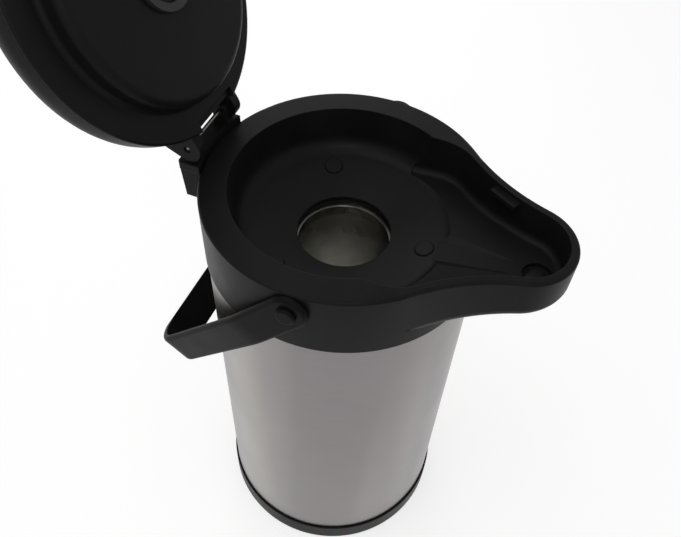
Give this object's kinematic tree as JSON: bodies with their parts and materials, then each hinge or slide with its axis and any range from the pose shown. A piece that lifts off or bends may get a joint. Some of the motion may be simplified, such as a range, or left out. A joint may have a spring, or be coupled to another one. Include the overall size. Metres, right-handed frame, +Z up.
{
  "type": "airpot",
  "caption": "Vacuum flask with a black pouring collar and beak, a hinged pump lid standing open, and a strap bail that hangs behind.",
  "frame": {"origin": "centre of the foot pad's underside, on the table, on the flask's axis", "axes": "+Z up along the flask's axis, the beak points along -Y, the lid's hinge is at +Y and its pin runs along X"},
  "size_m": [0.172, 0.3113, 0.5143],
  "materials": {
    "black_plastic": "fine satin grain",
    "bail_plastic": "satin",
    "brushed_shell": "brushed round the body",
    "liner_steel": "drawn steel, half bright",
    "black_rubber": "matt",
    "zinc_steel": "plated"
  },
  "bodies": {
    "pot": {"collar": "black_plastic", "outer_shell": "brushed_shell", "shell_floor": "liner_steel", "inner_liner": "liner_steel", "neck_gasket": "black_rubber", "retaining_ring": "black_plastic", "ring_screws": "zinc_steel", "screw_plugs": "black_plastic", "base_cup": "black_plastic", "base_pad": "black_rubber", "hinge_bracket": "black_plastic", "bracket_screws": "zinc_steel", "hinge_rod": "zinc_steel", "bail_pin_left": "black_plastic", "bail_pin_right": "black_plastic"},
    "handle": {"bail": "bail_plastic"},
    "lid": {"lid_shell": "black_plastic", "lid_base": "black_plastic", "lid_screws": "zinc_steel", "bellows": "black_rubber", "bellows_clamp": "black_plastic", "pump_spring": "zinc_steel", "air_valve": "black_rubber", "air_seal": "black_rubber", "latch_spring": "zinc_steel"},
    "button": {"pump_button": "black_plastic", "pump_plunger": "black_plastic"},
    "latch": {"lid_latch": "black_plastic"}
  },
  "joints": [
    {"name": "lid_hinge", "type": "hinge", "parent": "pot", "child": "lid", "pos_m": [0, 0.0829, 0.323], "axis": [1, 0, 0], "range_deg": [0, 117]},
    {"name": "bail_swing", "type": "hinge", "parent": "pot", "child": "handle", "pos_m": [0, -0.0026, 0.2978], "axis": [1, 0, 0], "range_deg": [0, 72]},
    {"name": "button_press", "type": "slide", "parent": "lid", "child": "button", "axis": [0, -0.891, 0.454], "range_m": [0, 0.014], "stiffness_N_per_m": 150, "springref_m": -0.02, "deforming": ["pump_spring", "bellows"]},
    {"name": "latch_release", "type": "slide", "parent": "lid", "child": "latch", "axis": [-0.8846, -0.2117, -0.4156], "range_m": [0, 0.003], "stiffness_N_per_m": 300, "springref_m": -0.003, "deforming": ["latch_spring"]}
  ]
}
